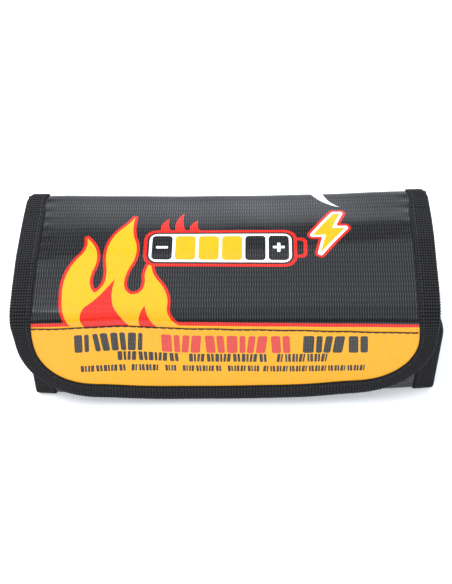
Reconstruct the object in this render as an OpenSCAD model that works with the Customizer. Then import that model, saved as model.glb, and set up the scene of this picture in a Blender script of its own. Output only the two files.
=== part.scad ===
// A soft box-shaped bag that a lithium pack is charged and stored in.
// One strip of coated cloth makes the front, bottom, back, lid and flap. Two end
// panels close the box. Woven tape is folded over every raw edge and sewn through.
// The lid folds at the back top edge, the flap folds at the front top edge, and the
// hook panel inside the flap holds on the loop panel outside the front wall.
// X runs along the bag, -Y is the front, +Z is up, and the bag stands on Z = 0.

/* [Bag] */
// Length over the end tapes
bag_length = 185; // [150:1:240]
// Depth from the back wall to the face of the closed flap
bag_depth = 75; // [60:1:110]
// Height to the top of the closed lid
bag_height = 60; // [60:1:90]
// Outer radius of the folds along the bottom
fold_r = 3.5; // [3.2:0.1:5]

/* [Cloth] */
// Thickness of the coated outer cloth
cloth_t = 0.6; // [0.6:0.05:0.7]
// Thickness of the glass cloth lining
lining_t = 0.6; // [0.6:0.05:0.7]
// Clearance between a hinged panel and the wall that it closes on
fold_gap = 0.3; // [0.2:0.05:0.6]

/* [Edge tape] */
// Thickness of the woven tape
tape_t = 0.5; // [0.4:0.05:0.55]
// Width of the folded tape on each face
tape_w = 9.5; // [8:0.5:10]

/* [Flap] */
// Height of the flap's front edge above the floor
flap_bottom = 5.5; // [3:0.5:8]
// Radius of the flap's two front corners
flap_corner_r = 37; // [20:1:46]
// Drop of the seam that holds the hook panel, from the top of the lid
seam_drop = 5.2; // [4:0.1:8]

/* [Closure] */
// Thickness of the hook panel, and of the loop panel
closure_t = 1; // [0.8:0.1:1.4]
// Free space between the hooks and the loops
closure_gap = 0.4; // [0.3:0.05:0.6]
// Height of the loop panel
loop_height = 37; // [20:1:37]
// Height of the loop panel's lower edge
loop_bottom = 8.5; // [5:0.5:8.5]

/* [Mouth] */
// Gap over each end panel's rim, which the battery's leads come out of
lead_gap = 5.3; // [5:0.1:10]
// Gap over the front wall's rim
front_gap = 1.8; // [1:0.1:3]

/* [Stitching] */
// Distance from one stitch to the next
stitch_pitch = 3.3; // [2.8:0.1:5]
// Length of one stitch
stitch_length = 2.7; // [2:0.1:2.7]
// Width of the thread
thread_w = 0.45; // [0.3:0.05:0.6]
// How far the thread stands off the cloth
thread_t = 0.2; // [0.1:0.05:0.2]

/* [Hidden] */
$fn = 96;

half_l = bag_length / 2;
front = -bag_depth / 2;
back = bag_depth / 2;

// Thickness of a taped edge on the lid and flap, and the places of their layers
edge_t = 2 * tape_t + cloth_t + lining_t;
lid_under = bag_height - edge_t;
wall_top = lid_under - fold_gap;
front_top = lid_under - front_gap;
end_top = lid_under - lead_gap - tape_t;

// Depth of each layer in a taped edge of the box, from the tape's outer face
shell_in = tape_t;
lining_in = shell_in + cloth_t;
flange_in = lining_in + lining_t;
inner_leaf_in = flange_in + cloth_t;
fin_t = inner_leaf_in + tape_t;

// The box's front stands back from the flap by the closure's two halves
wall_face = front + tape_t + cloth_t + lining_t + 2 * closure_t + closure_gap;
box_front = wall_face - tape_t;

// Where the tape ends and the bare cloth begins, and the end panel's plane
tape_edge = half_l - tape_w;
layer_end = half_l - tape_t;
trim = 0.1;
plate_x = tape_edge - 2 * cloth_t;
fold_steps = 6;

// How far the loop panel stops short of the tapes, and its seams of its own edges
loop_margin = 3;
seam_margin = 2;
// How far the hook panel's sewn edge reaches above its seam
hook_tuck = 2;

cloth_black = [0.13, 0.135, 0.15];
cloth_yellow = [0.98, 0.72, 0.16];
lining_silver = [0.74, 0.75, 0.74];
tape_black = [0.05, 0.05, 0.055];
closure_black = [0.09, 0.09, 0.1];
thread_black = [0.03, 0.03, 0.035];

function arc(centre, r, from, to) =
    [for (i = [0:fold_steps])
        let (a = from + (to - from) * i / fold_steps)
        centre + r * [cos(a), sin(a)]];

// Extrudes a section drawn in Y and Z from x0 to x1.
module along_x(x0, x1) {
    translate([x0, 0, 0]) rotate([90, 0, 90]) linear_extrude(x1 - x0) children();
}

// Extrudes an outline drawn in X and Z backwards from y0 to y1.
module through_y(y0, y1) {
    translate([0, y1, 0]) rotate([90, 0, 0]) linear_extrude(y1 - y0) children();
}

// The right-hand part as drawn, or its mirror image at the left end.
module at_end(side) {
    if (side == "left") mirror([1, 0, 0]) children();
    else children();
}

// The line of one layer of the box, down the front, along the bottom and up the back.
function layer_line(inset, sag, front_z, back_z) =
    let (r = fold_r - inset, y0 = box_front + inset, y1 = back - inset, z0 = inset - sag)
    concat([[y0, front_z]],
        arc([y0 + r, z0 + r], r, 180, 270),
        arc([y1 - r, z0 + r], r, 270, 360),
        [[y1, back_z]]);

// Section of one layer of the box. inset is its depth from the outside, and sag is
// how far the layer's bottom rests below its place in the taped edge.
module layer_section(inset, thick, front_z, back_z, sag = 0) {
    outer = layer_line(inset, sag, front_z, back_z);
    inner = layer_line(inset + thick, sag, front_z, back_z);
    polygon(concat(outer, [for (i = [len(inner) - 1:-1:0]) inner[i]]));
}

module body_shell() {
    color(cloth_black) union() {
        along_x(trim - tape_edge, tape_edge - trim)
            layer_section(shell_in, cloth_t, front_top - tape_t, wall_top, tape_t);
        for (side = ["left", "right"]) at_end(side)
            along_x(tape_edge - 2 * tape_t, layer_end)
                layer_section(shell_in, cloth_t, front_top - tape_t, wall_top);
    }
}

module body_lining() {
    reach = tape_edge - 2 * tape_t - trim;
    color(lining_silver) union() {
        along_x(-reach, reach)
            layer_section(lining_in, lining_t, front_top - tape_t, wall_top, tape_t);
        for (side = ["left", "right"]) at_end(side)
            along_x(reach - tape_t, layer_end)
                layer_section(lining_in, lining_t, front_top - tape_t, wall_top);
    }
}

// A tray: the panel itself and the flange that is sewn into the taped edge.
module end_panel(side) {
    color(cloth_black) at_end(side) union() {
        along_x(plate_x, layer_end) layer_section(flange_in, cloth_t, end_top, end_top);
        along_x(plate_x, plate_x + cloth_t)
            polygon(layer_line(flange_in, 0, end_top, end_top));
    }
}

module end_lining(side) {
    color(lining_silver) at_end(side)
        along_x(plate_x - lining_t, plate_x)
            polygon(layer_line(flange_in, 0, end_top, end_top));
}

// Tape folded over the box's front, bottom and back edges at one end.
module body_tape(side) {
    color(tape_black) at_end(side) union() {
        along_x(tape_edge, half_l) layer_section(0, tape_t, front_top, wall_top);
        along_x(tape_edge, half_l)
            layer_section(inner_leaf_in, tape_t, front_top, wall_top);
        along_x(layer_end, half_l) layer_section(0, fin_t, front_top, wall_top);
    }
}

// Tape folded over the front wall's top edge. Its inner leaf stops at the end linings.
module front_rim_tape() {
    outer_x = tape_edge - trim;
    inner_x = plate_x - lining_t - trim;
    leaf_z = front_top - tape_w;
    inner_y = box_front + flange_in;
    color(tape_black) union() {
        translate([-outer_x, box_front, leaf_z]) cube([2 * outer_x, tape_t, tape_w]);
        translate([-inner_x, inner_y, leaf_z]) cube([2 * inner_x, tape_t, tape_w]);
        translate([-outer_x, box_front, front_top - tape_t])
            cube([2 * outer_x, flange_in + tape_t, tape_t]);
    }
}

// Tape folded over an end panel's top edge.
module end_rim_tape(side) {
    y0 = box_front + inner_leaf_in + trim;
    y1 = back - inner_leaf_in - trim;
    x0 = plate_x - lining_t;
    x1 = plate_x + cloth_t;
    color(tape_black) at_end(side) translate([0, y0, end_top + tape_t - tape_w]) union() {
        translate([x0 - tape_t, 0, 0]) cube([tape_t, y1 - y0, tape_w]);
        translate([x1, 0, 0]) cube([tape_t, y1 - y0, tape_w]);
        translate([x0 - tape_t, 0, tape_w - tape_t])
            cube([x1 - x0 + 2 * tape_t, y1 - y0, tape_t]);
    }
}

module loop_panel() {
    width = 2 * (tape_edge - loop_margin);
    color(closure_black) translate([-width / 2, wall_face - closure_t, loop_bottom])
        cube([width, closure_t, loop_height]);
}

// A row of stitches along X on a face that looks towards -Y.
module stitch_row(width, face_y, z) {
    count = floor(width / stitch_pitch);
    for (i = [0:count - 1])
        translate([(i - (count - 1) / 2) * stitch_pitch - stitch_length / 2,
                face_y - thread_t, z - thread_w / 2])
            cube([stitch_length, thread_t, thread_w]);
}

module loop_panel_stitching() {
    width = 2 * (tape_edge - loop_margin - seam_margin);
    color(thread_black)
        for (z = [loop_bottom + seam_margin, loop_bottom + loop_height - seam_margin])
            stitch_row(width, wall_face - closure_t, z);
}

// One layer of the lid, from the back fold to the front fold.
module lid_layer(z0, thick) {
    translate([-layer_end, front, z0]) cube([2 * layer_end, bag_depth, thick]);
}

module lid_shell() {
    color(cloth_black) lid_layer(bag_height - tape_t - cloth_t, cloth_t);
}

module lid_lining() {
    color(lining_silver) lid_layer(lid_under + tape_t, lining_t);
}

module lid_tape(side) {
    color(tape_black) at_end(side) union() {
        translate([tape_edge, front, bag_height - tape_t])
            cube([tape_w, bag_depth, tape_t]);
        translate([tape_edge, front, lid_under]) cube([tape_w, bag_depth, tape_t]);
        translate([layer_end, front, lid_under]) cube([tape_t, bag_depth, edge_t]);
    }
}

// The flap's outline in X and Z, drawn in from its edge, with its two large corners.
module flap_outline(inset, above = 0) {
    centre_x = half_l - flap_corner_r;
    centre_z = flap_bottom + flap_corner_r;
    width = 2 * (half_l - inset);
    bottom = flap_bottom + inset;
    intersection() {
        translate([-width / 2, bottom]) square([width, wall_top + above - bottom]);
        union() {
            translate([-width / 2, centre_z]) square([width, bag_height]);
            translate([-centre_x, bottom]) square([2 * centre_x, bag_height]);
            for (side = [-1, 1]) translate([side * centre_x, centre_z])
                circle(flap_corner_r - inset);
        }
    }
}

// The band between two insets, open along the fold.
module flap_band(inset, width) {
    difference() {
        flap_outline(inset);
        flap_outline(inset + width, above = 1);
    }
}

module flap_shell() {
    y0 = front + tape_t;
    color(cloth_yellow) through_y(y0, y0 + cloth_t) flap_outline(tape_t);
}

module flap_lining() {
    y0 = front + tape_t + cloth_t;
    color(lining_silver) through_y(y0, y0 + lining_t) flap_outline(tape_t);
}

// Tape folded over the flap's two sides, corners and front edge.
module flap_tape() {
    color(tape_black) union() {
        through_y(front, front + tape_t) flap_band(0, tape_w);
        through_y(front + edge_t - tape_t, front + edge_t) flap_band(0, tape_w);
        through_y(front, front + edge_t) flap_band(0, tape_t);
    }
}

// The hook panel fills the flap inside its tape, below the seam.
module hook_panel() {
    y0 = front + tape_t + cloth_t + lining_t;
    panel_top = bag_height - seam_drop + hook_tuck;
    color(closure_black) through_y(y0, y0 + closure_t) intersection() {
        flap_outline(tape_w + trim);
        translate([-half_l, 0]) square([bag_length, panel_top]);
    }
}

module hook_panel_stitching() {
    color(thread_black)
        stitch_row(2 * (tape_edge - seam_margin), front + tape_t, bag_height - seam_drop);
}

body_shell();
body_lining();
end_panel("left");  // left_end_panel
end_panel("right");  // right_end_panel
end_lining("left");  // left_end_lining
end_lining("right");  // right_end_lining
body_tape("left");  // left_body_tape
body_tape("right");  // right_body_tape
front_rim_tape();
end_rim_tape("left");  // left_end_rim_tape
end_rim_tape("right");  // right_end_rim_tape
loop_panel();
loop_panel_stitching();
lid_shell();
lid_lining();
lid_tape("left");  // lid_left_tape
lid_tape("right");  // lid_right_tape
flap_shell();
flap_lining();
flap_tape();
hook_panel();
hook_panel_stitching();
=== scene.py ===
"""A soft box-shaped bag for a lithium pack, closed by a wrap-over flap.

One strip of coated cloth makes the front wall, bottom, back wall, lid and flap. A place
on it is (u, s): u across the bag, and s along the strip from the front fold, down the
flap where it is positive and back over the lid where it is negative, in millimetres.
"""

import math

import bmesh
import bpy
import numpy as np
from mathutils import Matrix, Vector
from mathutils.geometry import delaunay_2d_cdt


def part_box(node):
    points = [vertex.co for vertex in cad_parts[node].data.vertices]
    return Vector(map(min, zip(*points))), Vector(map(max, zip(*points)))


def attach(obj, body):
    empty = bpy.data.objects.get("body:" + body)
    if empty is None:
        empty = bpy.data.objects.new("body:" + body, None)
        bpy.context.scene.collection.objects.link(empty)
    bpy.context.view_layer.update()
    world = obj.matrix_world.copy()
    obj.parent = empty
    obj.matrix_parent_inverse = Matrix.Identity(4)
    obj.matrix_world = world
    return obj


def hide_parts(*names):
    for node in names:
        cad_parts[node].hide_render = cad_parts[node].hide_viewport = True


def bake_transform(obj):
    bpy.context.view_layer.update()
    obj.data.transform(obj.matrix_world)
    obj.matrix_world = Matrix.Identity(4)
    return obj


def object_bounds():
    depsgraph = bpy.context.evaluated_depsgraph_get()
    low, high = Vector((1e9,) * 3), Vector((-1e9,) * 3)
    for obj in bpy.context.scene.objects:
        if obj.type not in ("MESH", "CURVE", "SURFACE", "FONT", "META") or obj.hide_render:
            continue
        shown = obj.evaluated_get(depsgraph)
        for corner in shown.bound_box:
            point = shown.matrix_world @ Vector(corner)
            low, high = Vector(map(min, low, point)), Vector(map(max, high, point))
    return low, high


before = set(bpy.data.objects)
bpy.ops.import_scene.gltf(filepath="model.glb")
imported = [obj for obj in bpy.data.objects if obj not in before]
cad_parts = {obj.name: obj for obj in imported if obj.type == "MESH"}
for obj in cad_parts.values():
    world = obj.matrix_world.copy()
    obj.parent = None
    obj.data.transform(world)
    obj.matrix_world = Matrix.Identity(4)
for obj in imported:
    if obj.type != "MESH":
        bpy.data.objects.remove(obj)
cad_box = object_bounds()
MM = 0.001
RIB_PITCH, RIB_HEIGHT = 1.4, 0.26


# ---- camera, light, floor


def add_camera():
    """The camera in front of the bag and above it, turned a little and rolled a little."""
    elevation, turn, roll = math.radians(50.3), math.radians(0.34), math.radians(-0.65)
    target, distance = Vector((-0.0009, 0.0004, 0.0304)), 0.6138
    data = bpy.data.cameras.new("Camera")
    data.lens = 81.6
    data.sensor_width = 36.0
    camera = bpy.data.objects.new("Camera", data)
    facing = (
        Matrix.Rotation(turn, 4, "Z")
        @ Matrix.Rotation(math.pi / 2 - elevation, 4, "X")
        @ Matrix.Rotation(roll, 4, "Z")
    )
    camera.matrix_world = (
        Matrix.Translation(target + facing.to_3x3() @ Vector((0, 0, distance))) @ facing
    )
    bpy.context.scene.collection.objects.link(camera)
    bpy.context.scene.camera = camera


def add_light(name, place, size, watts, colour=(1, 1, 1), mirrored=True):
    """A soft rectangular light turned towards the bag. It needn't show in reflections."""
    data = bpy.data.lights.new(name, "AREA")
    data.shape = "RECTANGLE"
    data.size, data.size_y = size
    data.energy = watts
    data.color = colour
    light = bpy.data.objects.new(name, data)
    light.location = place
    aim = Vector((0, 0, 0.03))
    light.rotation_euler = (aim - Vector(place)).to_track_quat("-Z", "Y").to_euler()
    light.visible_glossy = mirrored
    bpy.context.scene.collection.objects.link(light)


# How bright the surroundings are behind the bag and in front of it, from level (0) to overhead (1)
BACKDROP = (
    (0, 4.5), (0.3, 3.8), (0.5, 1.7), (0.58, 1.0), (0.63, 0), (0.72, 0), (0.79, 1.2), (0.93, 1.5),
)
FRONT_WALL = ((0, 0.1), (0.36, 0.1), (0.46, 1.3), (0.7, 1.2), (0.96, 0.9), (1, 1.3))


def add_world():
    """A bright backdrop with a dark band above it, and a dimmer wall in front, dark at its foot."""
    world = bpy.data.worlds.new("Studio")
    bpy.context.scene.world = world
    world.use_nodes = True
    nodes, links = world.node_tree.nodes, world.node_tree.links
    coordinate = nodes.new("ShaderNodeTexCoord")
    split = nodes.new("ShaderNodeSeparateXYZ")
    links.new(coordinate.outputs["Generated"], split.inputs[0])
    ramps = []
    for stops in (BACKDROP, FRONT_WALL):
        ramp = nodes.new("ShaderNodeValToRGB")
        links.new(split.outputs["Z"], ramp.inputs[0])
        for i, (place, grey) in enumerate(stops):
            elements = ramp.color_ramp.elements
            element = elements[i] if i < 2 else elements.new(place)
            element.position = place
            element.color = (grey * 0.94, grey * 0.98, grey * 1.06, 1)
        ramps.append(ramp)
    side = nodes.new("ShaderNodeMapRange")
    side.inputs["From Min"].default_value = -0.2
    side.inputs["From Max"].default_value = 0.2
    links.new(split.outputs["Y"], side.inputs["Value"])
    mix = nodes.new("ShaderNodeMix")
    mix.data_type = "RGBA"
    links.new(side.outputs[0], mix.inputs[0])
    links.new(ramps[1].outputs[0], mix.inputs[6])
    links.new(ramps[0].outputs[0], mix.inputs[7])
    links.new(mix.outputs[2], nodes["Background"].inputs["Color"])


def add_studio():
    """A pale floor and soft lights: one overhead, a key behind on the left, and a fill."""
    bpy.context.scene.view_settings.view_transform = "Standard"
    add_world()
    add_light("Top", (-0.36, -0.1, 0.78), (0.6, 0.24), 4.0)
    add_light("Key", (-0.75, 0.45, 1.1), (0.7, 0.7), 7.5, (1, 0.985, 0.95), mirrored=False)
    add_light("Fill", (0.1, -1.3, 0.75), (1.0, 0.6), 8.0, (1, 0.99, 0.97), mirrored=False)
    bpy.ops.mesh.primitive_plane_add(size=6, location=(0, 0, -0.0001))
    floor = bpy.context.object
    floor.name = "Floor"
    paper = Nodes("floor")
    paper.set(base_color=(0.92, 0.925, 0.935, 1), roughness=0.8)
    paper.set(emission_color=(0.9, 0.95, 1, 1), emission_strength=0.16)
    floor.data.materials.append(paper.material)


# ---- materials


class Nodes:
    """Short calls for the nodes of one material."""

    def __init__(self, name):
        self.material = bpy.data.materials.new(name)
        self.material.use_nodes = True
        self.tree = self.material.node_tree
        self.shader = self.tree.nodes["Principled BSDF"]

    def put(self, node, socket, value):
        """Links or sets a socket."""
        if isinstance(value, bpy.types.NodeSocket):
            self.tree.links.new(value, node.inputs[socket])
        else:
            node.inputs[socket].default_value = value

    def math(self, operation, *values):
        node = self.tree.nodes.new("ShaderNodeMath")
        node.operation = operation
        for i, value in enumerate(values):
            self.put(node, i, value)
        return node.outputs[0]

    def attribute(self, name):
        node = self.tree.nodes.new("ShaderNodeAttribute")
        node.attribute_name = name
        return node

    def place(self):
        """The two distances across the cloth or the tape, in millimetres."""
        split = self.tree.nodes.new("ShaderNodeSeparateXYZ")
        self.put(split, 0, self.attribute("cloth").outputs["Vector"])
        return split.outputs["X"], split.outputs["Y"]

    def channel(self, colour, name):
        split = self.tree.nodes.new("ShaderNodeSeparateColor")
        self.put(split, 0, colour)
        return split.outputs[name]

    def noise(self, scale, detail=2.0):
        node = self.tree.nodes.new("ShaderNodeTexNoise")
        node.inputs["Scale"].default_value = scale
        node.inputs["Detail"].default_value = detail
        self.put(node, "Vector", self.attribute("cloth").outputs["Vector"])
        return node.outputs["Fac"]

    def wave(self, distance, period):
        """A cosine of a distance."""
        return self.math("COSINE", self.math("MULTIPLY", distance, 2 * math.pi / period))

    def between(self, value, low, high):
        """A value from 0 to 1 spread from low to high."""
        node = self.tree.nodes.new("ShaderNodeMapRange")
        for i, number in enumerate((value, 0.0, 1.0, low, high)):
            self.put(node, i, number)
        return node.outputs[0]

    def mixed(self, factor, first, second, kind="MIX"):
        node = self.tree.nodes.new("ShaderNodeMix")
        node.data_type = "RGBA"
        node.blend_type = kind
        self.put(node, 0, factor)
        self.put(node, 6, first)
        self.put(node, 7, second)
        return node.outputs[2]

    def relief(self, height, depth):
        """Bumps the shader's surface by a height from 0 to 1, to a depth in millimetres."""
        bump = self.tree.nodes.new("ShaderNodeBump")
        bump.inputs["Distance"].default_value = depth * MM
        self.put(bump, "Height", height)
        self.put(self.shader, "Normal", bump.outputs[0])

    def set(self, **values):
        """Sets the shader's sockets by name."""
        for socket, value in values.items():
            self.put(self.shader, socket.replace("_", " ").title().replace("Ior", "IOR"), value)


def coated_cloth():
    """Glass cloth under a satin coat, whose beads catch the light where threads cross, with a
    painted glint added to the colour on the bead crowns.
    """
    rib, row = 1.08, 2.6
    made = Nodes("coated_cloth")
    u, s = made.place()
    swing = made.math("MULTIPLY", made.wave(s, 2 * row), 0.12)
    ribs = made.wave(made.math("ADD", u, swing), rib)
    rows = made.wave(s, row)
    beads = made.math("MULTIPLY", ribs, made.math("MULTIPLY_ADD", rows, 0.3, 0.7))
    weave = made.math("ADD", made.math("MULTIPLY", beads, 0.45), made.math("MULTIPLY", rows, 0.04))
    uneven = made.noise(0.35, 3.0)
    made.relief(made.math("ADD", weave, made.math("MULTIPLY", uneven, 1.2)), 0.014)
    ink = made.attribute("ink").outputs["Color"]
    mottled = made.mixed(1.0, ink, made.between(uneven, 0.88, 1.04), "MULTIPLY")
    crown = made.math("POWER", made.math("ADD", weave, 0.5), 2.0)
    # Painted highlight: a faint light screened into the base colour on the crowns of the beads, as
    # their glints
    painted_glint = made.between(crown, 0.0, 0.027)
    bare = made.math("SUBTRACT", 1.0, made.channel(ink, "Red"))
    made.set(
        base_color=made.mixed(1.0, mottled, painted_glint, "SCREEN"),
        roughness=made.between(made.noise(0.06, 4.0), 0.18, 0.28),
        specular_ior_level=0.2,
        coat_weight=made.math("MULTIPLY", crown, bare),
        coat_roughness=0.2,
    )
    return made.material


def glass_lining():
    """Bare glass cloth: a fine silver-grey plain weave."""
    thread = 1.1
    made = Nodes("glass_lining")
    u, s = made.place()
    weave = made.math("MULTIPLY", made.wave(u, 2 * thread), made.wave(s, 2 * thread))
    height = made.math("ADD", made.math("MULTIPLY", weave, 0.5), made.noise(0.8, 3.0))
    made.relief(height, 0.2)
    # Painted shade: darker where the weave runs low and lighter on its raised threads, with random
    # unevenness
    shade = made.between(made.math("ADD", weave, made.noise(0.2, 3.0)), 0.8, 1.08)
    made.set(
        base_color=made.mixed(1.0, (0.50, 0.51, 0.505, 1), shade, "MULTIPLY"),
        roughness=made.between(made.noise(0.1), 0.45, 0.62),
        metallic=0.1,
    )
    return made.material


def ribbed_tape():
    """Black woven tape: the ribs are in the mesh, and this adds the threads across them, with
    painted highlights on the rib crowns and painted shade in the grooves.
    """
    made = Nodes("ribbed_tape")
    w, t = made.place()
    across = made.math("MULTIPLY_ADD", made.wave(w, 1.15), 0.5, 0.5)
    height = made.math("ADD", made.math("MULTIPLY", across, 0.6), made.noise(2.2, 3.0))
    made.relief(height, 0.25)
    crown = made.math("MULTIPLY_ADD", made.wave(t, RIB_PITCH), 0.5, 0.5)
    # Painted light: lighter on the rib crowns where threads cross them, darker in the grooves
    # between, made uneven by noise
    painted_crown_light = made.math("MULTIPLY", made.math("POWER", crown, 2.0), across)
    mottled = made.math("MULTIPLY", painted_crown_light, made.between(made.noise(0.9, 4.0), 0.5, 1.5))
    made.set(
        # The colour runs from a painted shade in the grooves to a painted highlight on the crowns
        base_color=made.mixed(mottled, (0.004, 0.004, 0.0045, 1), (0.041, 0.042, 0.045, 1)),
        roughness=made.between(made.noise(1.3), 0.65, 0.9),
        specular_ior_level=0.15,
    )
    return made.material


def nylon(name, colour, roughness):
    """Nylon thread, hooks and loops, with an uneven sheen."""
    made = Nodes(name)
    shade = made.between(made.noise(1.7, 3.0), 0.65, 1.3)
    made.set(
        base_color=made.mixed(1.0, (*colour, 1), shade, "MULTIPLY"),
        roughness=made.between(made.noise(0.9), roughness - 0.1, roughness + 0.12),
    )
    return made.material


MATERIALS = {
    "cloth": coated_cloth(),
    "lining": glass_lining(),
    "tape": ribbed_tape(),
    "thread": nylon("thread", (0.005, 0.005, 0.006), 0.7),
    "hooks": nylon("hooks", (0.02, 0.02, 0.022), 0.45),
    "loops": nylon("loops", (0.024, 0.024, 0.026), 0.7),
}
INKS = {
    "black": (0.003, 0.0033, 0.0045),
    "yellow": (0.75, 0.335, 0.003),
    "red": (0.57, 0.010, 0.003),
    "white": (0.85, 0.85, 0.85),
    "charcoal": (0.012, 0.011, 0.008),
    "coral": (0.54, 0.045, 0.03),
}


# ---- sizes, from the CAD


def span(node):
    """The lowest and highest corners of a CAD node, in millimetres."""
    low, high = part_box(node)
    return np.array(low) / MM, np.array(high) / MM


HALF = cad_box[1].x / MM
FRONT = cad_box[0].y / MM
BACK = cad_box[1].y / MM
DEPTH = BACK - FRONT
CLOTH_HALF = span("lid_shell")[1][0]
TAPE_T = HALF - CLOTH_HALF
TAPE_W = HALF - span("lid_right_tape")[0][0]
CLOTH_T = np.ptp([c[2] for c in span("lid_shell")])
LINING_T = np.ptp([c[2] for c in span("lid_lining")])
WALL_Y = span("body_shell")[0][1]
RIM_Z = span("front_rim_tape")[1][2] - TAPE_T
LID_TOP = span("lid_shell")[1][2]
FLAP_TIP = span("flap_tape")[0][2]


# ---- the strip of outer cloth


def smooth(start, end, x):
    """0 up to start, 1 from end, and a soft step between."""
    t = np.clip((x - start) / (end - start), 0, 1)
    return t * t * (3 - 2 * t)


def rounded_path(corners):
    """Close points along a line whose corners are rounded, given as (y, z, radius).

    Also gives the distance along the line to each point and to the middle of each turn.
    """
    places = [np.array(c[:2], float) for c in corners]
    points, turns = [places[0]], []
    for i in range(1, len(corners) - 1):
        arriving = places[i] - places[i - 1]
        leaving = places[i + 1] - places[i]
        arriving /= np.linalg.norm(arriving)
        leaving /= np.linalg.norm(leaving)
        angle = math.acos(np.clip(arriving @ leaving, -1, 1))
        reach = corners[i][2] * math.tan(angle / 2)
        count = max(4, int(angle * corners[i][2] / 0.2))
        for k in range(count + 1):
            t = k / count
            ends = places[i] - arriving * reach, places[i] + leaving * reach
            points.append((1 - t) ** 2 * ends[0] + 2 * t * (1 - t) * places[i] + t * t * ends[1])
            if k == count // 2:
                turns.append(len(points) - 1)
    points.append(places[-1])
    points = np.array(points)
    along = np.concatenate([[0], np.cumsum(np.linalg.norm(np.diff(points, axis=0), axis=1))])
    return points, along, [along[i] for i in turns]


# The strip's side view at the tapes. The lid has a low ridge, and the flap leans out.
FLAP_LEAN = math.radians(5)
FLAP_REACH = 60.0
FOLD_Y = FRONT + TAPE_T
FOLD_Z = LID_TOP - 5.2
PROFILE, PROFILE_S, TURNS = rounded_path(
    [
        (WALL_Y, RIM_Z + 6, 0),
        (WALL_Y, TAPE_T, 3.0),
        (BACK - TAPE_T, TAPE_T, 3.0),
        (BACK - TAPE_T, LID_TOP - 0.7, 2.6),
        (13.0, LID_TOP + 2.35, 90.0),
        (-2.5, LID_TOP + 3.25, 22.0),
        (-22.0, LID_TOP + 1.3, 50.0),
        (-33.0, LID_TOP - 0.8, 8.0),
        (FOLD_Y, FOLD_Z, 8.0),
        (FOLD_Y - FLAP_REACH * math.sin(FLAP_LEAN), FOLD_Z - FLAP_REACH * math.cos(FLAP_LEAN), 0),
    ]
)
HEADING = np.gradient(PROFILE, PROFILE_S, axis=0)
OUTWARD = np.stack([HEADING[:, 1], -HEADING[:, 0]], 1)
PROFILE_S = PROFILE_S - TURNS[-1]
S_RIM = PROFILE_S[0] + 7
S_BASE_FRONT, S_BASE_BACK, S_BACK = (t - TURNS[-1] for t in TURNS[:3])
S_TIP = (FOLD_Z - FLAP_TIP) / math.cos(FLAP_LEAN) - 1.5
CORNER_R = 35.0

# Where the strip's three pieces meet
BODY_END_S = S_BACK - 12.0
JOIN_S = -62.0

# How far the box's front and the flap have slid sideways, from nothing at the back fold
BODY_SKEW, LID_SKEW = 2.4, -1.3


def ripple(u, s):
    """The cloth's gentle unevenness, from -1 to 1."""
    return (
        0.4 * np.sin(u / 13.0 + 0.9 * np.sin(s / 19.0))
        + 0.35 * np.sin(s / 8.5 + 1.3 * np.sin(u / 31.0) + 0.7)
        + 0.25 * np.sin(u / 5.7 - s / 9.1)
    )


def hill(x, centre, width):
    """A smooth bump, 1 high."""
    return np.exp(-(((x - centre) / width) ** 2))


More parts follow.
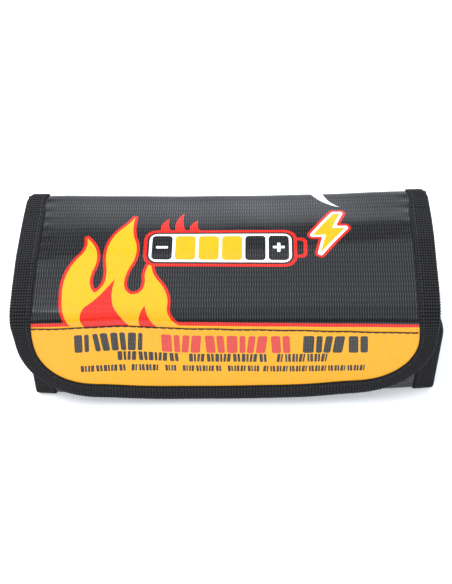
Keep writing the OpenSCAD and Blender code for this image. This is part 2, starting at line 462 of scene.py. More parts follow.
def shell(u, s):
    """The outer face of the strip of cloth at (u, s), in millimetres."""
    u, s = np.broadcast_arrays(np.asarray(u, float), np.asarray(s, float))

    # The lid's ridge runs across it at a slant
    over_lid = smooth(0.12, 0.38, s / S_BACK) * smooth(0.85, 0.55, s / S_BACK)
    ridge = s + (0.05 * u + 0.0002 * u**2) * over_lid
    u = u * (1 - 0.01 * smooth(-2, 16, s) * smooth(0, -40, u))
    y = np.interp(s, PROFILE_S, PROFILE[:, 0])
    z = np.interp(ridge, PROFILE_S, PROFILE[:, 1])
    belly = np.clip(1 - np.abs(u / HALF) ** 3, 0, None)
    inside_tape = np.clip((HALF - TAPE_W - np.abs(u)) / TAPE_W, 0, 1)

    # The front wall leans out with the flap, and its foot comes part of the way
    drop = np.clip(s - S_RIM, 0, S_BASE_FRONT - S_RIM)
    foot = (1 - 0.45 * smooth(S_BASE_FRONT - 10, S_BASE_FRONT, s)) * (
        1 - smooth(S_BASE_FRONT, S_BASE_FRONT + 25, s)
    )
    y = y - belly * math.tan(FLAP_LEAN) * drop * foot

    # The bottom rests on the floor between the tapes, and the back wall bows out
    on_base = smooth(S_BASE_FRONT - 2, S_BASE_FRONT + 4, s) * (
        1 - smooth(S_BASE_BACK - 4, S_BASE_BACK + 2, s)
    )
    z = z - (TAPE_T - 0.15) * inside_tape * on_base
    climb = np.clip((s - S_BASE_BACK) / (S_BACK - S_BASE_BACK), 0, 1)
    y = y + 1.4 * belly * np.sin(math.pi * climb) ** 2

    # The back fold sags between the tapes, and stands higher at the right
    sag = np.clip(1 - (u / (HALF - TAPE_W)) ** 2, 0, 1) * hill(s, S_BACK, 13)
    z = z - 0.7 * sag
    y = y - 0.3 * sag
    reach = np.where(s > S_BACK, 40, 22)
    z = z + 1.5 * smooth(10, 90, u) * hill(s, S_BACK, reach)

    # The front fold is lower at the right
    z = z - smooth(0, 90, u) * hill(s, 0, 14)

    # A short fold stands up beside the left tape
    z = z + 0.45 * hill(u, -82, 8) * hill(s, -30, 2.6)

    # The flap hangs closer at its ends, and is pushed in left of the middle near the fold
    down = np.clip(s / S_TIP, 0, 1.1)
    y = y + S_TIP * math.sin(FLAP_LEAN) * 0.3 * down * (1 - belly)
    z = z - down * (0.45 - 0.009 * u)
    y = y + 1.9 * hill(u, -46, 20) * smooth(-5, 6, s) * (1 - 0.9 * smooth(12, 42, s))
    y = y - 1.1 * hill(u, -62, 38) * smooth(8, 45, s)
    y = y - 0.9 * hill(u, 35, 35) * smooth(5, 45, s)

    # Unevenness, and puckers where the tapes are sewn on
    lift = 0.2 * ripple(u, s) * inside_tape * (1 - on_base)
    pucker = 0.1 * np.cos(2 * math.pi * s / 6.6) * np.exp(-inside_tape * TAPE_W / 3)
    lift = lift + pucker * smooth(0, 0.05, inside_tape) * (1 - on_base)
    y = y + lift * np.interp(s, PROFILE_S, OUTWARD[:, 0])
    z = z + lift * np.interp(s, PROFILE_S, OUTWARD[:, 1])
    lid = np.stack([u + (LID_SKEW + 0.0065 * u) * np.clip((BACK - y) / DEPTH, 0, 1), y, z], -1)
    body = body_slide(np.stack([u, y, z], -1))
    return body + (lid - body) * smooth(S_BACK - 4, S_BACK + 4, s)[..., None]


def body_slide(points):
    """The box's front has slid sideways, its upper corners inwards and its left foot forwards."""
    x, y, z = np.moveaxis(points, -1, 0)
    ahead = np.clip((BACK - y) / DEPTH, 0, 1)
    low = np.clip(1 - z / LID_TOP, 0, 1)
    left = np.clip(-x / HALF, 0, 1)
    corner = smooth(0.8, 1, ahead) * smooth(70, 90, np.abs(x)) * np.clip((z - 39) / 14, 0, 1) ** 2
    across = x + (BODY_SKEW + 1.3 * left) * ahead - 4.0 * np.sign(x) * corner
    return np.stack([across, y - 1.8 * left * low * ahead, z], -1)


def off(surface, a, b, height):
    """Points at a height off a surface, which is a function of two distances."""
    a, b = np.broadcast_arrays(np.asarray(a, float), np.asarray(b, float))
    d = 0.05
    across = surface(a + d, b) - surface(a - d, b)
    along = surface(a, b + d) - surface(a, b - d)
    normal = np.cross(along, across)
    normal /= np.maximum(np.linalg.norm(normal, axis=-1, keepdims=True), 1e-9)
    return surface(a, b) + normal * np.asarray(height)[..., None]


# ---- mesh builders


def doubled_area(outline):
    """Twice the area inside an outline, which is below 0 if it runs clockwise."""
    following = np.roll(outline, -1, axis=0)
    return np.sum(outline[:, 0] * following[:, 1] - following[:, 0] * outline[:, 1])


def new_object(name, points, faces, material, cloth=None, sharp=40):
    """An object from points in millimetres, smooth apart from edges sharper than an angle."""
    mesh = bpy.data.meshes.new(name)
    mesh.from_pydata((np.asarray(points) * MM).tolist(), [], faces)
    mesh.polygons.foreach_set("use_smooth", [True] * len(mesh.polygons))
    if cloth is not None:
        flat = np.zeros((len(points), 3), np.float32)
        flat[:, : cloth.shape[1]] = cloth
        layer = mesh.attributes.new("cloth", "FLOAT_VECTOR", "POINT")
        layer.data.foreach_set("vector", flat.ravel())
    solid = bmesh.new()
    solid.from_mesh(mesh)
    if solid.calc_volume(signed=True) < 0:
        mesh.flip_normals()
    solid.free()
    mesh.update()
    mesh.set_sharp_from_angle(angle=math.radians(sharp))
    mesh.materials.append(MATERIALS[material])
    made = bpy.data.objects.new(name, mesh)
    bpy.context.scene.collection.objects.link(made)
    return made


def turned_out(flat, faces):
    """The faces with their corners in the order that makes them face outwards."""
    return [
        tuple(face) if doubled_area(flat[list(face)]) < 0 else tuple(reversed(face))
        for face in faces
    ]


def slab(name, flat, faces, surface, low, high, material, inks=None):
    """A closed sheet from a low height to a high one off a surface.

    flat holds each corner's place on the surface, and inks each face's colour.
    """
    used = sorted({i for face in faces for i in face})
    number = {old: new for new, old in enumerate(used)}
    flat = np.asarray(flat, float)[used]
    faces = turned_out(flat, [tuple(number[i] for i in face) for face in faces])
    count = len(flat)
    edges = dict.fromkeys(pair for face in faces for pair in zip(face, face[1:] + face[:1]))
    rim = [(b, a, a + count, b + count) for a, b in edges if (b, a) not in edges]
    under = [tuple(i + count for i in reversed(face)) for face in faces]
    points = np.concatenate([off(surface, *flat.T, high), off(surface, *flat.T, low)])
    cloth = np.concatenate([flat, flat])
    made = new_object(name, points, faces + under + rim, material, cloth)
    ink = np.ones((len(faces) + len(under) + len(rim), 4), np.float32)
    ink[:, :3] = INKS["black"]
    if inks is not None:
        ink[: len(faces), :3] = inks
    layer = made.data.attributes.new("ink", "FLOAT_COLOR", "FACE")
    layer.data.foreach_set("color", ink.ravel())
    return made


def grid(a_values, b_values):
    """Places and faces of a grid. a_values may be a function of b that gives its row."""
    rows = [np.asarray(a_values(b) if callable(a_values) else a_values) for b in b_values]
    n = len(rows[0])
    flat = np.concatenate([np.stack([row, np.full(n, b)], 1) for row, b in zip(rows, b_values)])
    faces = [
        (j * n + i, j * n + i + 1, (j + 1) * n + i + 1, (j + 1) * n + i)
        for j in range(len(rows) - 1)
        for i in range(n - 1)
    ]
    return flat, faces


def stations(start, end, turns=(), wide=2.0, close=0.5, reach=6.0):
    """Places from start to end, close together near the turns and wide apart elsewhere."""
    places, here = [start], start
    while here < end - 1e-6:
        near = any(abs(here - t) < reach for t in turns)
        here = min(end, here + (close if near else wide))
        places.append(here)
    places = np.array(places)
    for turn in turns:
        if start + close < turn < end - close:
            places[np.argmin(np.abs(places - turn))] = turn
    return places


def tubes(name, centres, normals, radius, material, sides=6):
    """Thin closed tubes, one along each row of centres, with a normal at each centre."""
    tangent = np.gradient(centres, axis=1)
    tangent /= np.linalg.norm(tangent, axis=-1, keepdims=True)
    side = np.cross(tangent, normals)
    side /= np.linalg.norm(side, axis=-1, keepdims=True)
    up = np.cross(side, tangent)
    angles = np.arange(sides) * 2 * math.pi / sides
    ring = radius * (
        np.cos(angles)[:, None] * side[..., None, :] + np.sin(angles)[:, None] * up[..., None, :]
    )
    points = centres[..., None, :] + ring
    rows, length = centres.shape[:2]
    faces = []
    for r in range(rows):
        base = r * length * sides
        for k in range(length - 1):
            for i in range(sides):
                a, b = base + k * sides + i, base + k * sides + (i + 1) % sides
                faces.append((a, b, b + sides, a + sides))
        faces.append(tuple(base + i for i in reversed(range(sides))))
        faces.append(tuple(base + (length - 1) * sides + i for i in range(sides)))
    points = points.reshape(-1, 3)
    return new_object(name, points, faces, material, points, sharp=60)


def resampled(line, step):
    """A line's rows at even steps of the distance along its first two columns."""
    line = np.asarray(line, float)
    along = np.concatenate([[0], np.cumsum(np.linalg.norm(np.diff(line[:, :2], axis=0), axis=1))])
    count = max(2, int(round(along[-1] / step)) + 1)
    even = np.linspace(0, along[-1], count)
    return np.stack([np.interp(even, along, column) for column in line.T], 1), even


def tape_section(stack):
    """The section of a tape folded over a stack of cloth as thick as this.

    Each row is how far in from the cloth's edge, how high off its face, and which way ribs
    stand out there.
    """
    t, w = TAPE_T, TAPE_W - 0.5
    under = -stack - t
    return np.array(
        [
            (w, 0.02, 0, 0),
            (w + 0.05, t * 0.7, 0, 0.5),
            (w - 0.35, t, 0, 1),
            *[(w * k / 7, t, 0, 1) for k in range(6, 0, -1)],
            (0.25, t * 0.85, -0.5, 0.8),
            (-0.25, t * 0.3, -1, 0.4),
            (-0.48, -stack * 0.35, -1.3, 0),
            (-0.48, -stack * 0.65, -1.3, 0),
            (-0.25, -stack - t * 0.3, -1, -0.4),
            (0.25, -stack - t * 0.85, -0.5, -0.8),
            *[(w * k / 7, under, 0, -1) for k in range(1, 7)],
            (w - 0.35, under, 0, -1),
            (w + 0.05, -stack - t * 0.7, 0, -0.5),
            (w, -stack - 0.02, 0, 0),
            (0.3, -stack - 0.02, 0, 0),
            (0.12, -stack * 0.5, 0, 0),
            (0.3, 0.02, 0, 0),
        ]
    )


def tape(name, surface, edge, stack):
    """A ribbed tape folded over an edge, given as rows of place and direction inwards."""
    rail, along = resampled(edge, RIB_PITCH / 4)
    section = tape_section(stack)
    rib = RIB_HEIGHT * (0.5 + 0.5 * np.cos(2 * math.pi * along / RIB_PITCH))
    w = section[:, 0] + rib[:, None] * section[:, 2]
    h = section[:, 1] + rib[:, None] * section[:, 3]
    a = rail[:, None, 0] + rail[:, None, 2] * w
    b = rail[:, None, 1] + rail[:, None, 3] * w
    points = off(surface, a, b, h)
    n = len(section)
    faces = [
        (k * n + i, (k + 1) * n + i, (k + 1) * n + (i + 1) % n, k * n + (i + 1) % n)
        for k in range(len(rail) - 1)
        for i in range(n)
    ]
    faces.append(tuple(range(n)))
    faces.append(tuple(reversed(range((len(rail) - 1) * n, len(rail) * n))))
    cloth = np.stack([w, np.broadcast_to(along[:, None], w.shape)], -1).reshape(-1, 2)
    return new_object(name, points.reshape(-1, 3), faces, "tape", cloth, sharp=70)


STITCH_PITCH, STITCH_LENGTH, THREAD_R = 3.3, 2.95, 0.33
SEAM_IN, SEAM_HEIGHT = TAPE_W - 2.4, TAPE_T - 0.32
STITCH_SHAPE = ((-0.5, -0.3), (-0.42, 0.1), (-0.2, 0.22), (0.2, 0.22), (0.42, 0.1), (0.5, -0.3))


def stitches(name, surface, line, height):
    """A row of stitches along a line of places on a surface, at a height off it."""
    rail, along = resampled(line, 0.2)
    middles = np.arange(STITCH_PITCH / 2, along[-1], STITCH_PITCH)
    shape = np.array(STITCH_SHAPE)
    at = np.clip(middles[:, None] + shape[:, 0] * STITCH_LENGTH, 0, along[-1])
    a = np.interp(at, along, rail[:, 0])
    b = np.interp(at, along, rail[:, 1])
    centres = off(surface, a, b, height + shape[:, 1])
    normals = off(surface, a, b, height + 1.0) - off(surface, a, b, height)
    return tubes(name, centres, normals, THREAD_R, "thread")


def tape_seam(name, surface, edge):
    """The seam that sews a tape on, half sunk into it, along the edge that it is folded over."""
    return stitches(name, surface, edge[:, :2] + edge[:, 2:] * SEAM_IN, SEAM_HEIGHT)


def droop(u, s):
    """How far the flap's bottom edge has bowed down, or been drawn up near its corners."""
    bow = 1.35 * (hill(u, -14, 38) - hill(np.abs(u), 60, 18))
    return bow * smooth(S_TIP - 20, S_TIP - 8, s)


def flap_edge():
    """The flap's edge and the lid's two sides, as rows of place and direction inwards."""
    half, tip = CLOTH_HALF, S_TIP
    turn = np.linspace(0, math.pi / 2, 40)
    left = [(-half, s, 1, 0) for s in np.linspace(JOIN_S, tip - CORNER_R, 60)]
    centre = CORNER_R - half, tip - CORNER_R
    corner = [
        (centre[0] - CORNER_R * c, centre[1] + CORNER_R * d, c, -d)
        for c, d in zip(np.cos(turn[1:]), np.sin(turn[1:]))
    ]
    bottom = [(u, tip, 0, -1) for u in np.arange(CORNER_R - half + 2, 0, 2)]
    half_way = np.array(left + corner + bottom)

    # The tape shows less of its width down the flap
    narrower = smooth(-8, 12, half_way[:, 1]) * (0.07 + 0.1 * np.abs(half_way[:, 2]))
    half_way[:, 2:] *= 1 - narrower[:, None]
    edge = np.concatenate([half_way, half_way[::-1] * [-1, 1, -1, 1]])
    edge[:, 1] += droop(*edge[:, :2].T)
    return edge


# ---- the printed art


def curve(points, step=0.7):
    """A closed outline through every other point, bent towards the points between them."""
    outline = []
    for i in range(0, len(points), 2):
        start, pull = np.array(points[i], float), np.array(points[i + 1], float)
        end = np.array(points[(i + 2) % len(points)], float)
        length = np.linalg.norm(pull - start) + np.linalg.norm(end - pull)
        count = max(2, int(length / step))
        for t in np.arange(count) / count:
            outline.append((1 - t) ** 2 * start + 2 * t * (1 - t) * pull + t * t * end)
    return np.array(outline)


def polygon(points, step=0.8):
    """A closed outline with straight sides."""
    doubled = []
    for start, end in zip(points, points[1:] + points[:1]):
        doubled += [start, ((start[0] + end[0]) / 2, (start[1] + end[1]) / 2)]
    return curve(doubled, step)


def block(left, top, width, height, radius, slant=0.0):
    """An upright rectangle with rounded corners, leaning by a slant."""
    radius = min(radius, width / 2.01, height / 2.01)
    outline = []
    near, far = left + radius, left + width - radius
    high, low = top + radius, top + height - radius
    for quarter, (cx, cy) in enumerate(((far, low), (near, low), (near, high), (far, high))):
        for k in range(5):
            angle = (quarter + k / 4) * math.pi / 2
            outline.append((cx + radius * math.cos(angle), cy + radius * math.sin(angle)))
    outline = np.array(outline)
    outline[:, 0] -= (outline[:, 1] - top) * slant
    return outline


def grown(outline, distance):
    """An outline pushed outwards by a distance, with round corners."""
    along = np.roll(outline, -1, axis=0) - outline
    length = np.linalg.norm(along, axis=1, keepdims=True)
    outward = np.stack([along[:, 1], -along[:, 0]], 1) / length * np.sign(doubled_area(outline))
    pushed = []
    for point, before, after in zip(outline, np.roll(outward, 1, axis=0), outward):
        bend = math.atan2(before[0] * after[1] - before[1] * after[0], before @ after)
        count = max(1, int(abs(bend) / 0.35))
        for k in range(count + 1):
            mix = before * (1 - k / count) + after * (k / count)
            pushed.append(point + distance * mix / max(np.linalg.norm(mix), 1e-6))
    pushed = np.array(pushed)
    gaps = np.linalg.norm(pushed[:, None] - outline, axis=2)
    kept = pushed[np.min(gaps, axis=1) > distance * 0.985]
    apart = np.linalg.norm(kept - np.roll(kept, 1, axis=0), axis=1) > 0.12
    return kept[apart]


FLAME = curve(
    [
        (-63, 8), (-70.5, 2), (-70.5, -10), (-71.5, -22), (-64.5, -31), (-60.5, -36),
        (-62, -42.5), (-54.5, -34), (-57.5, -25), (-61, -16), (-56.5, -12), (-50.5, -15.5),
        (-52.5, -27), (-54, -40), (-46.5, -48.5), (-43.5, -52), (-41.5, -56), (-42.5, -48),
        (-41, -42), (-37.5, -33), (-42, -25), (-46.5, -14), (-41, -11), (-35, -10.5),
        (-35, -18), (-36, -23), (-32.5, -28.5), (-33, -22), (-29, -17.5), (-24, -11),
        (-25, -5), (-25.5, 0.5), (-19, 4.5), (-20, 7.5), (-26, 8), (-40, 8.5),
    ]
)
FLAME_CORES = (
    [(-60, 6), (-64.5, 0), (-60.5, -5), (-54.5, -9), (-48, -19), (-50.5, -8), (-47, -3),
     (-44, 1), (-41, 6), (-51, 6.2)],
    [(-36.5, 6), (-38.5, 0), (-34.5, -5.5), (-34, 0), (-29, 6), (-33, 6.2)],
)
LICKS = ((-27, -46.5, 8.5), (-20.5, -46.5, 12.5), (-14, -46.5, 7.5))
BOLT = [
    (2.4, -12.5), (-7.4, 1.8), (-1.6, 1.8), (-4.2, 12.5), (7.4, -2.6), (1.4, -2.6), (5.4, -12.5),
]
BOLT_PLACE = (46.0, -45.5)
RED_LINE = (-0.2, 1.7)
PRINT_SHIFT = -2.2
PRINT_TILT = 0.011

# Each row's top, height and gap between bars, and each word's left, right, bars and ink
BAR_ROWS = (
    (9.9, 11.0, 1.4, (
        (-66, -36, 4, "charcoal"), (-28, 28, 6, "coral"), (34, 62, 3, "charcoal"),
    )),
    (21.4, 5.2, 0.8, (
        (-48, -21, 6, "charcoal"), (-16, 18, 9, "charcoal"), (23, 45, 7, "charcoal"),
    )),
    (29.0, 3.8, 0.7, (
        (-65, -45, 6, "charcoal"), (-42, -30, 4, "charcoal"), (-27, -22, 2, "charcoal"),
        (-19, -2, 6, "charcoal"), (1, 15, 5, "charcoal"), (17, 62, 16, "charcoal"),
    )),
)


def pictogram():
    """A row of battery cells in a frame with a terminal, as (ink, outline) pairs."""
    left, top, width, height = -36.5, -47.0, 68.0, 21.5
    art = [("red", block(left + width - 3, top + 5, 7.5, 11.5, 2.5))]
    art += [("black", block(left + width - 3, top + 6.6, 5.9, 8.3, 1.5))]
    for ink, inset, radius in (("red", 0, 5.5), ("black", 1.5, 4.3), ("white", 2.4, 3.6)):
        inner = width - 2 * inset, height - 2 * inset
        art.append((ink, block(left + inset, top + inset, *inner, radius)))
    cells = ("black", "yellow", "yellow", "yellow", "black", "black")
    gap, margin = 1.3, 3.6
    cell = (width - 2 * margin - gap * (len(cells) - 1)) / len(cells)
    starts = [left + margin + i * (cell + gap) for i in range(len(cells))]
    for start, ink in zip(starts, cells):
        art.append((ink, block(start, top + margin, cell, height - 2 * margin, 1.7)))
    middle = top + height / 2
    sign, stroke = 5.2, 1.4
    for start, plus in ((starts[0], False), (starts[-1], True)):
        centre = start + cell / 2
        art.append(("white", block(centre - sign / 2, middle - stroke / 2, sign, stroke, 0.3)))
        if plus:
            art.append(("white", block(centre - stroke / 2, middle - sign / 2, stroke, sign, 0.3)))
    return art


def bars(left, right, count, top, height, gap, ink):
    """A word's worth of plain stencilled bars, which say nothing, between left and right."""
    width = (right - left - gap * (count - 1)) / count
    cut = min(0.9, width * 0.14)
    art = []
    for i in range(count):
        start = left + i * (width + gap)
        first = (width - cut) * (0.64, 0.42, 0.56)[i % 3]
        lean = (0.0, 0.08, -0.06)[(i + count) % 3]
        for near, across in ((start, first), (start + first + cut, width - cut - first)):
            art.append((ink, block(near, top, across, height, height * 0.09, lean)))
    return art


def band(top, bottom):
    """A band right across the cloth and past its sides."""
    wide = HALF + 5
    return polygon([(-wide, top), (wide, top), (wide, bottom), (-wide, bottom)], 3)


def lid_art():
    """What is printed on the lid and the flap, from the lowest layer up."""
    red_top, red_bottom = (s - PRINT_SHIFT for s in RED_LINE)
    art = [
        ("red", grown(FLAME, 1.35)),
        ("red", band(red_top, red_bottom + 1)),
        ("yellow", band(red_bottom, 90)),
        ("yellow", FLAME),
    ]
    art += [("red", curve(core)) for core in FLAME_CORES]
    for u, foot, height in LICKS:
        lick = [
            (u - 2.3, foot), (u - 3.4, foot - height * 0.55), (u + 1.2, foot - height),
            (u + 0.2, foot - height * 0.4), (u + 2.4, foot), (u, foot + 0.3),
        ]
        art.append(("red", curve(lick, 0.5)))
    art += pictogram()
    bolt = polygon([(u + BOLT_PLACE[0], s + BOLT_PLACE[1]) for u, s in BOLT])
    art += [("red", grown(bolt, 2.5)), ("white", grown(bolt, 1.2)), ("yellow", bolt)]
    for top, height, gap, words in BAR_ROWS:
        for left, right, count, ink in words:
            art += bars(left, right, count, top, height, gap, ink)
    return [(ink, tilted(outline)) for ink, outline in art]


def tilted(outline):
    """The print isn't quite square to the fold, and runs low near the left tape."""
    u, s = outline.T
    return np.stack([u, s + PRINT_SHIFT + PRINT_TILT * u + smooth(-35, -88, u)], 1)


STREAK = [(36, -80), (41.5, -67.6), (51.6, -64.4), (44.8, -68.3), (42.8, -80), (39.5, -80.3)]


def anticlockwise(outline):
    """An outline turned to run anticlockwise."""
    outline = np.asarray(outline, float)
    return outline if doubled_area(outline) > 0 else outline[::-1]


def printed(name, edge, art, u_values, s_values):
    """Outer cloth inside an edge, cut into faces along the outlines of its art."""
    outlines = [anticlockwise(outline) for outline in [edge] + [o for _, o in art]]
    low, high = outlines[0].min(0), outlines[0].max(0)
    inner_u = u_values[(u_values > low[0] + 0.3) & (u_values < high[0] - 0.3)]
    inner_s = s_values[(s_values > low[1] + 0.3) & (s_values < high[1] - 0.3)]
    spread = np.stack(np.meshgrid(inner_u, inner_s), -1).reshape(-1, 2)
    places, loops, count = [], [], 0
    for outline in outlines:
        places.append(outline)
        loops.append(list(range(count, count + len(outline))))
        count += len(outline)
    places.append(spread)
    points = [Vector(p) for p in np.concatenate(places)]
    flat, _, faces, _, _, sources = delaunay_2d_cdt(points, [], loops, 1, 1e-5, True)

    # Each face's sources are the outlines around it: the edge is the first, and the last is on top
    kept = [(tuple(face), max(around)) for face, around in zip(faces, sources) if 0 in around]
    layers = ["black"] + [ink for ink, _ in art]
    inks = [INKS[layers[top]] for _, top in kept]
    return slab(name, flat, [face for face, _ in kept], shell, -CLOTH_T, 0.0, "cloth", inks)


# ---- the pieces

ALL_TURNS = (S_BASE_FRONT, S_BASE_BACK, S_BACK, 0.0)
STACK = CLOTH_T + LINING_T
END_STACK = STACK + CLOTH_T


def instead_of(nodes, piece):
    """Puts a piece in the place of its CAD nodes, if it has any."""
    if nodes:
        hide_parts(*nodes)
    return piece


def on_body(piece, *nodes):
    """Moves a piece with the body."""
    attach(piece, "body")
    return instead_of(nodes, piece)


def on_back_fold(piece, *nodes):
    """Bakes a piece's placement into its mesh, for the stretch from the body to the lid, in the
    place of its CAD nodes.
    """
    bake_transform(piece)
    return instead_of(nodes, piece)


def on_front_fold(piece, *nodes):
    """Bakes a piece's placement into its mesh, for the stretch from the lid to the flap, in the
    place of its CAD nodes.
    """
    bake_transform(piece)
    return instead_of(nodes, piece)


def outer_cloth():
    """The strip of coated cloth, in three pieces that meet edge to edge."""
    half = CLOTH_HALF
    wide = np.linspace(-half, half, 116)
    body = slab(
        "outer_cloth_body",
        *grid(wide, stations(S_RIM, BODY_END_S, ALL_TURNS)),
        shell, -CLOTH_T, 0.0, "cloth",
    )
    on_body(body, "body_shell")
    trim = ["front_rim_tape_ribbed", "front_rim_tape_seam"]
    trim += [f"body_tape_{kind}" for kind in ("left", "right", "seam_left", "seam_right")]

    rows = stations(BODY_END_S, JOIN_S, ALL_TURNS, wide=1.6)
    edge = [(u, BODY_END_S) for u in wide] + [(half, s) for s in rows[1:-1]]
    edge += [(u, JOIN_S) for u in wide[::-1]] + [(-half, s) for s in rows[-2:0:-1]]
    back = printed("outer_cloth_back_fold", edge, [("white", curve(STREAK))], wide, rows)
    on_back_fold(back)
    trim = [f"back_fold_tape_{kind}" for kind in ("left", "right", "seam_left", "seam_right")]

    rows = stations(JOIN_S, S_TIP, ALL_TURNS, wide=1.6, close=0.7)
    edge = resampled(flap_edge(), 1.6)[0][:, :2]
    edge = np.concatenate([edge, [(u, JOIN_S) for u in wide[-2:0:-1]]])
    front = printed("outer_cloth_lid_and_flap", edge, lid_art(), wide, rows)
    on_front_fold(front, "lid_shell", "flap_shell")


def flap_row(inset):
    """A function of s that gives the places across the lid and flap, inset from their edge."""

    def half_width(s):
        radius = CORNER_R - inset
        below = np.clip(s - (S_TIP - CORNER_R), 0, radius)
        return CLOTH_HALF - CORNER_R + math.sqrt(max(radius**2 - below**2, 0))

    return lambda s: np.linspace(-half_width(s), half_width(s), 100)


def lining(name, surface, a_values, b_values):
    """Lining cloth just behind the outer cloth."""
    return slab(name, *grid(a_values, b_values), surface, -STACK, -CLOTH_T - 0.05, "lining")


def linings():
    """The lining of the strip, in three pieces like the outer cloth."""
    half = CLOTH_HALF - TAPE_W + 2
    wide = np.linspace(-half, half, 90)
    start = S_RIM + 0.4
    body = lining("lining_body", shell, wide, stations(start, BODY_END_S, ALL_TURNS))
    on_body(body, "body_lining")

    back = lining("lining_back_fold", shell, wide, stations(BODY_END_S, JOIN_S, ALL_TURNS))
    on_back_fold(back)

    inset = 4.0
    end = S_TIP - inset
    rows = stations(JOIN_S, end, ALL_TURNS, reach=10)
    front = lining("lining_lid_and_flap", shell, flap_row(inset), rows)
    on_front_fold(front, "lid_lining", "flap_lining")


def side_edge(side, start, end):
    """One long edge of the strip, drawn in a little where the tape turns the back fold."""
    s = np.arange(start, end + 0.2, 0.25)
    s[-1] = end
    drawn_in = 1.7 * hill(s, S_BACK, 3)
    narrower = 1 - 0.12 * hill(s, S_BACK, 9)
    return np.stack([side * (CLOTH_HALF - drawn_in), s, -side * narrower, 0 * s], 1)


def edge_tapes():
    """Tape folded over every raw edge of the strip, each with its seam."""
    nodes = {
        "left": ("left_body_tape", "lid_left_tape"),
        "right": ("right_body_tape", "lid_right_tape"),
    }
    for side, sign in (("left", -1), ("right", 1)):
        edge = side_edge(sign, S_RIM - 0.3, BODY_END_S)
        piece = tape(f"body_tape_{side}", shell, edge, END_STACK)
        on_body(piece, nodes[side][0])
        on_body(tape_seam(f"body_tape_seam_{side}", shell, edge))
        edge = side_edge(sign, BODY_END_S, JOIN_S)
        piece = tape(f"back_fold_tape_{side}", shell, edge, STACK)
        on_back_fold(piece, nodes[side][1])
        on_back_fold(tape_seam(f"back_fold_tape_seam_{side}", shell, edge))
    edge = flap_edge()
    piece = tape("lid_and_flap_tape", shell, edge, STACK)
    on_front_fold(piece, "flap_tape")
    on_front_fold(tape_seam("lid_and_flap_tape_seam", shell, edge))
    inner = span("front_rim_tape")[1][0]
    across = np.arange(-inner, inner + 0.1, 0.5)
    edge = np.stack([across, 0 * across + S_RIM, 0 * across, 0 * across + 1], 1)
    piece = tape("front_rim_tape_ribbed", shell, edge, STACK)
    on_body(piece, "front_rim_tape")
    on_body(tape_seam("front_rim_tape_seam", shell, edge))


def end_surface(side):
    """One end panel as a surface of y and the height below its rim. It bows out a little."""
    low, high = span(f"{side}_end_panel")
    sign = -1 if side == "left" else 1
    rim = span(f"{side}_end_rim_tape")[1][2] - TAPE_T
    plate = min(abs(low[0]), abs(high[0])) + CLOTH_T

    def surface(y, depth):
        y, depth = np.broadcast_arrays(np.asarray(y, float), np.asarray(depth, float))
        z = rim - depth
        past = np.maximum(np.maximum(low[1] - y, y - high[1]), 0)
        beneath = np.maximum(low[2] - z, 0)
        held_y, held_z = np.clip(y, low[1], high[1]), np.maximum(z, low[2])
        free = np.sin(math.pi * np.clip((held_y - low[1]) / (high[1] - low[1]), 0, 1))
        free = free * np.clip((held_z - low[2]) / 12, 0, 1) ** 0.5
        bow = free * (1.1 + 0.35 * np.sin(y / 7 + z / 11) + 0.25 * np.sin(z / 5))
        x = sign * (plate + past + beneath + bow)
        return body_slide(np.stack([x, held_y, held_z], -1))

    return surface, low, high, rim, sign


def ends():
    """The two end panels with their flanges, linings and rim tapes."""
    flange = TAPE_W - TAPE_T - 1
    for side in ("left", "right"):
        surface, low, high, rim, sign = end_surface(side)
        flip = surface if sign > 0 else (lambda y, d, f=surface: f(-y, d))
        y_low, y_high = (low[1], high[1]) if sign > 0 else (-high[1], -low[1])
        deep = rim - low[2]
        y = stations(y_low - flange, y_high + flange, (y_low, y_high), reach=2)
        depth = stations(0.3, deep + flange, (deep,), reach=2)
        flat, faces = grid(y, depth)
        middle = np.array([flat[list(f)].mean(0) for f in faces])
        corner = ((middle[:, 0] < y_low) | (middle[:, 0] > y_high)) & (middle[:, 1] > deep)
        panel = slab(
            f"end_panel_{side}", flat, [f for f, out in zip(faces, corner) if not out],
            flip, -CLOTH_T, 0.0, "cloth",
        )
        on_body(panel, f"{side}_end_panel")
        y, depth = stations(y_low + 0.4, y_high - 0.4), stations(0.3, deep - 0.4)
        inner = lining(f"end_lining_{side}", flip, y, depth)
        on_body(inner, f"{side}_end_lining")
        across = np.arange(y_low + 0.4, y_high - 0.3, 0.5)
        edge = np.stack([across, 0 * across, 0 * across, 0 * across + 1], 1)
        piece = tape(f"end_rim_tape_{side}_ribbed", flip, edge, STACK)
        on_body(piece, f"{side}_end_rim_tape")
        seam = on_body(tape_seam(f"end_rim_tape_seam_{side}", flip, edge))


def tufts(name, surface, a, b, height, shape, material, seed):
    """A field of bent filaments that stand on a surface, each turned its own way."""
    rng = np.random.default_rng(seed)
    a = a + rng.uniform(-0.3, 0.3, a.shape)
    b = b + rng.uniform(-0.3, 0.3, b.shape)
    turn = rng.uniform(-0.6, 0.6, a.shape)
    size = rng.uniform(0.85, 1.15, a.shape)
    shape = np.array(shape)
    cos, sin = np.cos(turn)[:, None], np.sin(turn)[:, None]
    a = a[:, None] + cos * shape[:, 0] * size[:, None]
    b = b[:, None] + sin * shape[:, 0] * size[:, None]
    h = height + np.sign(height) * shape[:, 1] * size[:, None]
    centres = off(surface, a, b, h)
    sideways = off(surface, a - sin, b + cos, h)
    return tubes(name, centres, sideways - centres, FILAMENT_R, material, sides=4)


LOOP_SHAPE = ((-0.45, -0.1), (-0.5, 0.45), (0.0, 0.8), (0.5, 0.45), (0.45, -0.1))
HOOK_SHAPE = ((-0.3, -0.1), (-0.3, 0.5), (0.0, 0.85), (0.35, 0.7), (0.4, 0.45))
CLOSURE_BACKING = 0.45
FILAMENT_R = 0.11


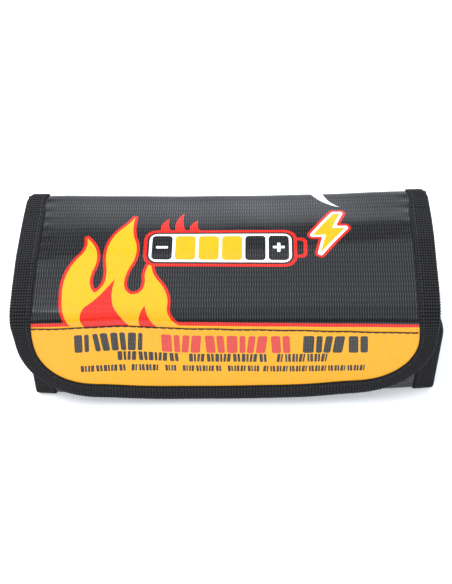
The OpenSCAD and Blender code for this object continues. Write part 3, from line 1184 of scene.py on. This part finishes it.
def loop_side():
    """The loop panel outside the front wall, sewn on above and below."""
    low, high = span("loop_panel")
    s_low, s_high = S_RIM + RIM_Z - high[2], S_RIM + RIM_Z - low[2]
    wide = np.linspace(low[0], high[0], 90)
    flat, faces = grid(wide, stations(s_low, s_high))
    base = slab("loop_backing", flat, faces, shell, 0.02, CLOSURE_BACKING, "loops")
    on_body(base, "loop_panel")
    bare, pitch = 1, 1.5
    across = np.arange(low[0] + bare, high[0] - bare, pitch)
    a, b = np.meshgrid(across, np.arange(s_low + bare, s_high - bare, pitch))
    pile = tufts("loop_pile", shell, a.ravel(), b.ravel(), CLOSURE_BACKING, LOOP_SHAPE, "loops", 3)
    on_body(pile)
    margin = 2.0
    for name, s in (("upper", s_low + margin), ("lower", s_high - margin)):
        node = ("loop_panel_stitching",) if name == "upper" else ()
        line = [(low[0] + margin, s), (high[0] - margin, s)]
        seam = stitches(f"loop_panel_seam_{name}", shell, line, CLOSURE_BACKING)
        on_body(seam, *node)


def hook_side():
    """The hook panel inside the flap, from the seam across it to just under the flap's tape."""
    start, end = 4.0, S_TIP - TAPE_W + 1.4
    under = -STACK - CLOSURE_BACKING
    inset = TAPE_W - 2.2
    rows = flap_row(inset)
    flat, faces = grid(rows, stations(start, end, [start], wide=1.5))
    flat[:, 1] += droop(*flat.T)
    base = slab("hook_backing", flat, faces, shell, under, -STACK - 0.02, "hooks")
    on_front_fold(base, "hook_panel")
    places, pitch = [], 1.6
    for s in np.arange(start + pitch / 2, end - pitch, pitch):
        row = rows(s)
        places += [(u, s) for u in np.arange(row[0] + 1.8, row[-1] - pitch, pitch)]
    a, b = np.array(places).T
    pile = tufts("hook_pile", shell, a, b + droop(a, b), under, HOOK_SHAPE, "hooks", 5)
    on_front_fold(pile)
    width, length = np.ptp(rows(start)), end - start


def flap_seam():
    """The seam across the flap that holds the hook panel, a hand's wobble off straight."""
    reach = CLOTH_HALF - TAPE_W + 2
    u = np.linspace(-reach, reach, 60)
    gap = 1.7 + 1.7 * np.clip((u + 30) / 100, -1, 1) ** 2 + 0.12 * np.sin(u / 3.1)
    s = RED_LINE[1] + gap + PRINT_TILT * u
    seam = stitches("hook_panel_seam", shell, np.stack([u, s], 1), 0.05)
    on_front_fold(seam, "hook_panel_stitching")


add_camera()
edge_tapes()
flap_seam()
loop_side()
hook_side()
outer_cloth()
linings()
ends()
add_studio()
